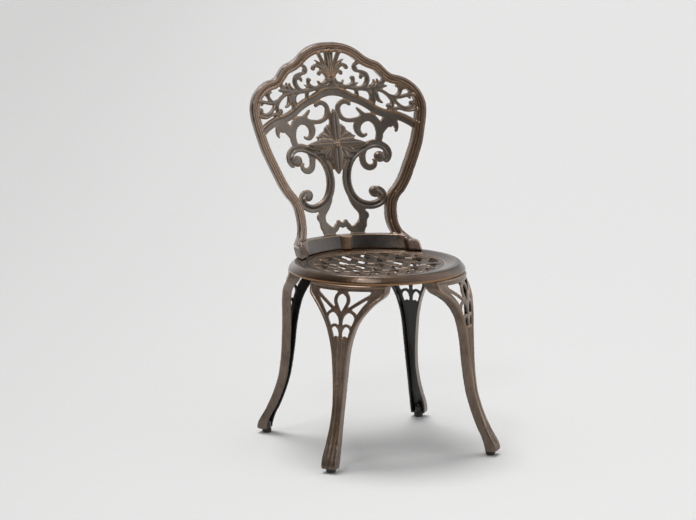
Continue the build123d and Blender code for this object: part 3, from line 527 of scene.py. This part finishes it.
def from_line(across, above, line, widths):
    """How far points lie from the middle of a band, where 1 is its edge."""
    fine = smooth_line(line)
    reach = max(widths) / 2
    low, high = fine.min(0) - reach, fine.max(0) + reach
    near = np.flatnonzero((across > low[0]) & (across < high[0]) & (above > low[1]) & (above < high[1]))
    nearest = np.full(len(near), np.inf)
    for index, (start, end) in enumerate(zip(fine, fine[1:])):
        run = end - start
        x, z = across[near] - start[0], above[near] - start[1]
        share = np.clip((x * run[0] + z * run[1]) / (run @ run), 0, 1)
        width = np.interp((index + share) / (len(fine) - 1), np.linspace(0, 1, len(widths)), widths)
        nearest = np.minimum(nearest, np.hypot(x - share * run[0], z - share * run[1]) / width * 2)
    whole = np.full(len(across), np.inf)
    whole[near] = nearest
    return whole


def edge_distance(across, above):
    """Distance of points from the frame's outer edge in front view."""
    nearest = np.full(len(across), np.inf)
    for start, end in zip(np.array(FRAME_EDGE), np.array(FRAME_EDGE[1:])):
        run = end - start
        x, z = across - start[0], above - start[1]
        share = np.clip((x * run[0] + z * run[1]) / (run @ run), 0, 1)
        nearest = np.minimum(nearest, np.hypot(x - share * run[0], z - share * run[1]))
    return nearest


def run_prisms(name, outlines, front, rear):
    """Solids between two heights on the face, over outlines of the right half, and their mirror images."""
    shape = bmesh.new()
    for outline in outlines:
        for side in (1, -1):
            rows = [[shape.verts.new(on_face(side * x, z, proud)) for x, z in outline]
                    for proud in (front, rear)]
            for row in rows:
                shape.faces.new(row)
            for index in range(len(outline)):
                after = (index + 1) % len(outline)
                shape.faces.new((rows[0][index], rows[0][after], rows[1][after], rows[1][index]))
    bmesh.ops.recalc_face_normals(shape, faces=shape.faces)
    bmesh.ops.triangulate(shape, faces=shape.faces)
    mesh = bpy.data.meshes.new(name)
    shape.to_mesh(mesh)
    shape.free()
    prisms = bpy.data.objects.new(name, mesh)
    bpy.context.scene.collection.objects.link(prisms)
    return prisms


def strap_outline(line, widths):
    """Outline of a flat band along a smooth line."""
    fine = smooth_line(line)
    run = np.gradient(fine, axis=0)
    run /= np.linalg.norm(run, axis=1)[:, None]
    half = np.interp(np.linspace(0, 1, len(fine)), np.linspace(0, 1, len(widths)), widths) / 2
    sideways = np.stack([run[:, 1], -run[:, 0]], 1) * half[:, None]
    return [*(fine + sideways), *(fine - sideways)[::-1]]


def lobe_outline(turned, length, width):
    """Outline of a round-ended lobe of the flower."""
    upper = smooth_line([(length * along, width * half) for along, half in LOBE_OUTLINE])
    turn = math.radians(turned)
    return [(x * math.cos(turn) - y * math.sin(turn), FLOWER_HEIGHT + x * math.sin(turn) + y * math.cos(turn))
            for x, y in [*upper, *(upper[-2:0:-1] * (1, -1))]]


def in_front_view(mesh):
    """Distance from the middle plane and height over the seat of a mesh's points, in millimetres."""
    points = read_points(mesh) * 1000
    return np.abs(points[:, 0]), points[:, 2] - SEAT_HEIGHT * 1000


def from_cone(mesh):
    """The way out of the back's face, how squarely points face that way, and their heights in metres."""
    axis = np.array((0, -math.sin(OPENING - LEAN), math.cos(OPENING - LEAN)))
    away = read_points(mesh) - np.array((0, APEX_Y, APEX_Z))
    along = away @ axis
    out = away - along[:, None] * axis
    radius = np.linalg.norm(out, axis=1)
    front = axis * math.sin(OPENING) - out / radius[:, None] * math.cos(OPENING)
    facing = (read_points(mesh, "normal") * front).sum(1)
    return front, facing, along * math.sin(OPENING) - radius * math.cos(OPENING)


def copper_line(away, middle, width, core=1.4, most=1.0):
    """Share of copper along a line: a rib's edge or a vein rubbed bare, or a painted highlight along the
    frame's mouldings.
    """
    return np.clip(core - np.abs(away - middle) / width, 0, most)


# frame: top of the rail, width of the outer roll, where cast edges show on it again, and copper lines painted
# on it as highlights of fine mouldings
RAIL_TOP, ROLL_WIDTH, ROLL_PASSES, ROLL_WORN = 36, 13, 10, (15, 17)
FRAME_HIGHLIGHT_LINES, FRAME_HIGHLIGHT_WIDTH = (4.2, 10.6, 15.6), 1.7
# lugs at the ends of the rail, rubbed less and rounded more
LUG_WORN_FROM, LUG_WORN, LUG_INSIDE, LUG_TOP = 112, 0.4, 118, 38
# ribs: lines, share of their width that is raised, and height
RIBS = [(FOLIAGE, 0.85, 2.4), (FRONDS, 0.95, 3.4), (TIE, 1, 4.2)]
EYE_RISE = 2.4
# roll on the cross band, roll on each upright and the groove beside it: line, widths and height
BAND_ROLL = (inset(BAND, -7.0), [4.6, 4.6], 1.0)
UPRIGHT_ROLL = (inset(UPRIGHT, -5.4), [5, 8, 8, 8, 7, 5], 3.4)
UPRIGHT_GROOVE = (inset(UPRIGHT, 0.6), [2, 4, 4, 4, 3, 2], 1.4)
# flower: lobes and then petals, with shares of their width from root to tip, and how far they are lifted
FLOWER = [(LOBES, (0.02, 0.7, 1, 0.95, 0.5), 0), (PETALS, (0.02, 0.8, 1, 0.8, 0.1), 2.2)]
PETAL_CROWN, VEIN_WIDTHS, VEIN_DEPTH = 2.2, [3.4, 3.4, 2], 1.2
FLOWER_REACH, FLOWER_EYE = (44, 48), 7
# rubbed edges lie just inside a rib's own edge; widths are shares of the rib's half width
RIB_EDGE, PETAL_INSIDE = 0.95, 0.8
FROND_RUB, PETAL_RUB, EYE_RUB, VEIN_RUB = 0.22, 0.13, 0.2, 0.5
# how squarely the carved face and the plain rear face forward, and the lowest height that is carved
FACE_TURN, REAR_TURN, FACE_LOW = (0.3, 0.7), -0.2, -0.001
# strip of the palmette's root along the cross band
ROOT_HALF_WIDTH, ROOT_STRIP = 18, 11


def carve_back(piece, wear_and_highlights):
    """Raises ribs, petals and rolls on the back's face, rubs their edges, and dresses the frame smooth."""
    across, above = in_front_view(piece.data)
    front, facing, depth = from_cone(piece.data)
    edge = edge_distance(across, above)
    on_frame = above > RAIL_TOP
    cast_edges = wear_and_highlights
    wear_and_highlights = wear_and_highlights * np.where(on_frame, ramp(edge, *ROLL_WORN), np.where(across > LUG_WORN_FROM, LUG_WORN, 1))
    # painted highlights: copper lines along the frame stand in for light caught by fine mouldings
    for line in FRAME_HIGHLIGHT_LINES:
        rubbed = copper_line(edge, line, FRAME_HIGHLIGHT_WIDTH, core=1.2, most=0.8)
        wear_and_highlights = np.maximum(wear_and_highlights, np.where(on_frame, rubbed, 0))
    rise = np.zeros(len(across))
    for lines, raised, height in RIBS:
        for line, widths in lines:
            away = from_line(across, above, line, [width * raised for width in widths])
            rise = np.maximum(rise, height * half_round(away))
            if lines is FRONDS:
                wear_and_highlights = np.maximum(wear_and_highlights, copper_line(away, RIB_EDGE, FROND_RUB))
    for x, z, radius in EYES:
        rise = np.maximum(rise, EYE_RISE * half_round(np.hypot(across - x, above - z) / radius))
    for line, widths, height in (BAND_ROLL, UPRIGHT_ROLL):
        rise = np.maximum(rise, height * half_round(from_line(across, above, line, widths)))
    line, widths, height = UPRIGHT_GROOVE
    rise -= height * half_round(from_line(across, above, line, widths))
    from_flower = np.hypot(across, above - FLOWER_HEIGHT)
    wear_and_highlights *= ramp(from_flower, *FLOWER_REACH)
    for petals, shares, lift in FLOWER:
        for turned, length, width in petals:
            way = (math.cos(math.radians(turned)), math.sin(math.radians(turned)))
            spine = [(way[0] * along, FLOWER_HEIGHT + way[1] * along) for along in (0, length / 2, length)]
            away = from_line(across, above, spine, [width * share for share in shares])
            vein = from_line(across, above, spine, VEIN_WIDTHS)
            height = PETAL_CROWN * half_round(away) + lift - VEIN_DEPTH * half_round(vein)
            rise = np.where(away < 1, np.maximum(rise, height), rise)
            wear_and_highlights = np.where(away < PETAL_INSIDE, copper_line(vein, 0, VEIN_RUB),
                            np.maximum(wear_and_highlights, copper_line(away, RIB_EDGE, PETAL_RUB)))
    wear_and_highlights = np.maximum(wear_and_highlights, copper_line(from_flower / FLOWER_EYE, RIB_EDGE, EYE_RUB))
    rise *= ramp(facing, *FACE_TURN) * (depth > FACE_LOW)
    # the palmette's root is dressed off level with the cross band
    on_band = from_line(across, above, BAND, [ROOT_STRIP, ROOT_STRIP]) < 1
    root = (across < ROOT_HALF_WIDTH) & (depth > 0) & on_band
    rise[root] = -1000 * depth[root]
    wear_and_highlights[root] = 0
    wear_and_highlights = np.where(facing < REAR_TURN, cast_edges, wear_and_highlights)
    move_points(piece.data, read_points(piece.data) + front * rise[:, None] / 1000)
    on_lug = (across > LUG_INSIDE) & (above < LUG_TOP)
    soften(piece, "roll", (edge < ROLL_WIDTH) & on_frame | on_lug, ROLL_PASSES)
    return wear_and_highlights


frame_beads = run_beads("frame_beads", [
    (inset(FRAME_EDGE, inwards), width, proud) for inwards, width, proud in FRAME_ROLLS])
straps = run_prisms("straps", [strap_outline(*strap) for strap in STRAPS], *STRAP_FACES)
lobe_edges = [*(lobe_outline(*lobe) for lobe in LOBES), strap_outline(*TOP_PETAL)]
lobes = run_prisms("lobes", lobe_edges, *LOBE_FACES)
openings = run_prisms("openings", [OPENING_EDGE], *CUT_FACES)
back_frame = casting_from(
    "backrest", "back_frame", BACK_GRAIN, carve_back, [frame_beads, straps, lobes], openings)

# the cuts: the frame's width, the rail's upper face and where it meets the lugs, and the drop below the band
FRAME_WIDTH, RAIL_FACE, RAIL_HALF_WIDTH, BAND_DROP = 22.6, 31.5, 110, 11
across, above = in_front_view(back_frame.data)
inner = (edge_distance(across, above) > FRAME_WIDTH) & ((above > RAIL_FACE) | (across < RAIL_HALF_WIDTH))
back_scrolls = split_casting(back_frame, "back_scrolls", inner)
across, above = in_front_view(back_scrolls.data)
under_band = np.interp(across, [x for x, z in BAND], [z for x, z in BAND]) - BAND_DROP
back_crest = split_casting(back_scrolls, "back_crest", above > under_band)
frame_paint = antique_bronze("bronze_frame", "#6b5646", "#48382d", "#a88664", "#1f1813",
                             rub=0.3, polish=0.12, metal=0.55, coat=0.6)
panel_paint = antique_bronze("bronze_panel", "#6e655b", "#5a5047", "#a0805f", "#1a1512", rub=0.4)
rail_paint = antique_bronze("bronze_rail", "#514b45", "#403832", "#987857", "#1a1512", rub=0.5)
# painted highlight: the boss's front gets a lighter paint, for light from the front
lit_boss_paint = antique_bronze("bronze_boss_painted_highlight", "#b3967a", "#8a7058", "#b98f66", "#241b14", metal=0.35)
for piece, paint in ((back_frame, frame_paint), (back_crest, panel_paint), (back_scrolls, panel_paint)):
    finish_casting(piece, paint, "backrest")

# the rail below the scrolls is darker, and the front of its middle boss is painted lighter, a painted
# highlight for light falling on it from the front
BOSS_HALF_WIDTH, BOSS_FRONT = 0.0125, 0.3
back_scrolls.data.materials.append(rail_paint)
back_scrolls.data.materials.append(lit_boss_paint)
middles = np.empty(len(back_scrolls.data.polygons) * 3, np.float32)
back_scrolls.data.polygons.foreach_get("center", middles)
faced = np.empty(len(middles), np.float32)
back_scrolls.data.polygons.foreach_get("normal", faced)
on_rail = middles[2::3] < SEAT_HEIGHT + RAIL_FACE / 1000
boss_highlight = on_rail & (np.abs(middles[0::3]) < BOSS_HALF_WIDTH) & (faced[1::3] < BOSS_FRONT)
back_scrolls.data.polygons.foreach_set("material_index", on_rail.astype(np.int32) + boss_highlight)

# Feet: round pads of black moulded plastic on threaded studs of zinc plated steel.
# Screws and washers are the same plated steel. All keep the shapes they are turned and stamped to.
plastic = bpy.data.materials.new("black_moulded_plastic")
plastic.use_nodes = True
body = plastic.node_tree.nodes["Principled BSDF"]
where = add_node(plastic, "ShaderNodeTexCoord")
# dull and even, with the mould's texture of half a millimetre
skin = add_node(plastic, "ShaderNodeTexNoise", [(where.outputs["Object"], "Vector")],
                in_Scale=2000.0, in_Detail=2.0)
tint = add_node(plastic, "ShaderNodeMix", [(skin.outputs["Fac"], "Factor")], data_type="RGBA",
                in_6=colour("#2a2725"), in_7=colour("#383330"))
plastic.node_tree.links.new(tint.outputs[2], body.inputs["Base Color"])
body.inputs["Roughness"].default_value = 0.55

steel = bpy.data.materials.new("zinc_plated_steel")
steel.use_nodes = True
body = steel.node_tree.nodes["Principled BSDF"]
body.inputs["Metallic"].default_value = 1.0
where = add_node(steel, "ShaderNodeTexCoord")
# pale grey metal with the crystalline mottle of the zinc, about 3 mm, bright and dull by turns
mottle = add_node(steel, "ShaderNodeTexNoise", [(where.outputs["Object"], "Vector")],
                  in_Scale=330.0, in_Detail=3.0)
tint = add_node(steel, "ShaderNodeMix", [(mottle.outputs["Fac"], "Factor")], data_type="RGBA",
                in_6=colour("#8d8b86"), in_7=colour("#6f6d69"))
steel.node_tree.links.new(tint.outputs[2], body.inputs["Base Color"])
dull = add_node(steel, "ShaderNodeMapRange", [(mottle.outputs["Fac"], "Value")], in_To_Min=0.3, in_To_Max=0.5)
steel.node_tree.links.new(dull.outputs[0], body.inputs["Roughness"])
for name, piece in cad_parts.items():
    if name.startswith("glide_pad"):
        piece.data.materials.clear()
        piece.data.materials.append(plastic)
    elif name.startswith("glide_stud") or name.endswith(("bolts", "washers")):
        piece.data.materials.clear()
        piece.data.materials.append(steel)

# Studio: a pale seamless paper floor under one very broad soft light, from above and a little behind.
# A small softbox stands high at the left front. The paint mirrors a room that is dim to the left and
# bright to the right, and the paper is painted a little darker towards the left as painted shade.
FLOOR_SIZE = 120
FLOOR_WAY, FLOOR_DIM, FLOOR_BRIGHT = (0.92, -0.39, 0), -2.2, 0.5
bpy.ops.object.select_all(action="DESELECT")
bpy.ops.mesh.primitive_plane_add(size=FLOOR_SIZE, location=(0, 0, 0))
floor = bpy.context.active_object
floor.name = "studio_floor"
paper = bpy.data.materials.new("pale_seamless_paper")
paper.use_nodes = True
body = paper.node_tree.nodes["Principled BSDF"]
where = add_node(paper, "ShaderNodeTexCoord")
# painted shade: the paper's colour darkens towards the left, standing in for the light falling off
sideways = add_node(paper, "ShaderNodeVectorMath", [(where.outputs["Object"], 0)],
                    operation="DOT_PRODUCT", in_1=FLOOR_WAY)
painted_falloff = add_node(paper, "ShaderNodeMapRange", [(sideways.outputs["Value"], "Value")],
                   interpolation_type="SMOOTHSTEP", in_From_Min=FLOOR_DIM, in_From_Max=FLOOR_BRIGHT)
tint = add_node(paper, "ShaderNodeMix", [(painted_falloff.outputs[0], "Factor")], data_type="RGBA",
                in_6=colour("#dcdcdb"), in_7=colour("#f1f1f0"))
paper.node_tree.links.new(tint.outputs[2], body.inputs["Base Color"])
body.inputs["Roughness"].default_value = 0.9
body.inputs["Specular IOR Level"].default_value = 0.1
floor.data.materials.append(paper)

scene = bpy.context.scene
scene.view_settings.view_transform = "Standard"
world = bpy.data.worlds.new("studio")
world.use_nodes = True
scene.world = world
sky = world.node_tree.nodes["Background"]
sky.inputs["Color"].default_value = colour("#f6f6f7")
aimed = add_node(world, "ShaderNodeTexCoord")
# the room in the paint's gloss: dim to the left, bright to the right
RIGHT_WAY, REAR_WAY, SOFTBOX_WAY = (0.9, 0.44, 0), (0.5, 0.66, 0.56), (-0.35, -0.37, 0.86)
side = add_node(world, "ShaderNodeVectorMath", [(aimed.outputs["Generated"], 0)],
                operation="DOT_PRODUCT", in_1=RIGHT_WAY)
turned = add_node(world, "ShaderNodeMapRange", [(side.outputs["Value"], "Value")],
                  in_From_Min=-0.5, in_From_Max=0.5, in_To_Min=0.08, in_To_Max=1.3)
# dimmer high behind the chair, and brighter upwards elsewhere
rear = add_node(world, "ShaderNodeVectorMath", [(aimed.outputs["Generated"], 0)],
                operation="DOT_PRODUCT", in_1=REAR_WAY)
behind = add_node(world, "ShaderNodeMapRange", [(rear.outputs["Value"], "Value")],
                  in_From_Min=0.8, in_From_Max=0.95, in_To_Min=1.0, in_To_Max=0.3)
parts = add_node(world, "ShaderNodeSeparateXYZ", [(aimed.outputs["Generated"], 0)])
raised = add_node(world, "ShaderNodeMapRange", [(parts.outputs["Z"], "Value")],
                  in_From_Min=0.0, in_From_Max=0.4, in_To_Min=0.75, in_To_Max=1.5)
around = add_node(world, "ShaderNodeMath", [(turned.outputs[0], 0), (behind.outputs[0], 1)],
                  operation="MULTIPLY")
room = add_node(world, "ShaderNodeMath", [(around.outputs[0], 0), (raised.outputs[0], 1)],
                operation="MULTIPLY")
# the softbox's own reflection, at the upper left front
glint = add_node(world, "ShaderNodeVectorMath", [(aimed.outputs["Generated"], 0)],
                 operation="DOT_PRODUCT", in_1=SOFTBOX_WAY)
panel = add_node(world, "ShaderNodeMapRange", [(glint.outputs["Value"], "Value")],
                 interpolation_type="SMOOTHSTEP", in_From_Min=0.96, in_From_Max=0.99, in_To_Max=6.0)
seen = add_node(world, "ShaderNodeMath", [(room.outputs[0], 0), (panel.outputs[0], 1)], operation="ADD")
ROOM_LIGHT, BACKDROP = 0.42, 0.85
ray = add_node(world, "ShaderNodeLightPath")
mirrored = add_node(world, "ShaderNodeMath", [
    (ray.outputs["Is Glossy Ray"], 0), (ray.outputs["Is Transmission Ray"], 1)], operation="MAXIMUM")
lit = add_node(world, "ShaderNodeMix", [(mirrored.outputs[0], "Factor"), (seen.outputs[0], 3)],
               in_2=ROOM_LIGHT)
shown = add_node(world, "ShaderNodeMix", [(ray.outputs["Is Camera Ray"], "Factor"), (lit.outputs[0], 2)],
                 in_3=BACKDROP)
world.node_tree.links.new(shown.outputs[0], sky.inputs["Strength"])

OVERHEAD_WAY = Vector((0.02, -0.26, -0.95))
bpy.ops.object.light_add(type="SUN", location=(0, 0, 3))
overhead = bpy.context.active_object
overhead.name = "overhead_softbox"
overhead.data.energy = 1.65
overhead.data.angle = math.radians(28)
overhead.rotation_euler = OVERHEAD_WAY.to_track_quat("-Z", "Y").to_euler()

SOFTBOX_AIM = Vector((0, 0, 0.6))
bpy.ops.object.light_add(type="AREA", location=(-0.95, -0.65, 2.75))
softbox = bpy.context.active_object
softbox.name = "left_softbox"
softbox.data.energy = 5
softbox.data.size = 0.28
softbox.rotation_euler = (SOFTBOX_AIM - softbox.location).to_track_quat("-Z", "Y").to_euler()

# a long lens, 10 degrees above level; its focal length is in pixels of a picture 696 wide
FOCAL_LENGTH, PICTURE_WIDTH, SENSOR_WIDTH = 2505.5, 696, 36
CAMERA_AIM = Vector((-0.0596, 0.0253 + SEAT_AXIS.y, 0.4202))
camera = bpy.data.objects.new("camera", bpy.data.cameras.new("camera"))
scene.collection.objects.link(camera)
camera.location = (-2.2058, -5.0309 + SEAT_AXIS.y, 1.4269)
camera.rotation_euler = (CAMERA_AIM - camera.location).to_track_quat("-Z", "Y").to_euler()
camera.data.sensor_fit = "HORIZONTAL"
camera.data.sensor_width = SENSOR_WIDTH
camera.data.lens = SENSOR_WIDTH * FOCAL_LENGTH / PICTURE_WIDTH
camera.data.clip_end = 200
scene.camera = camera
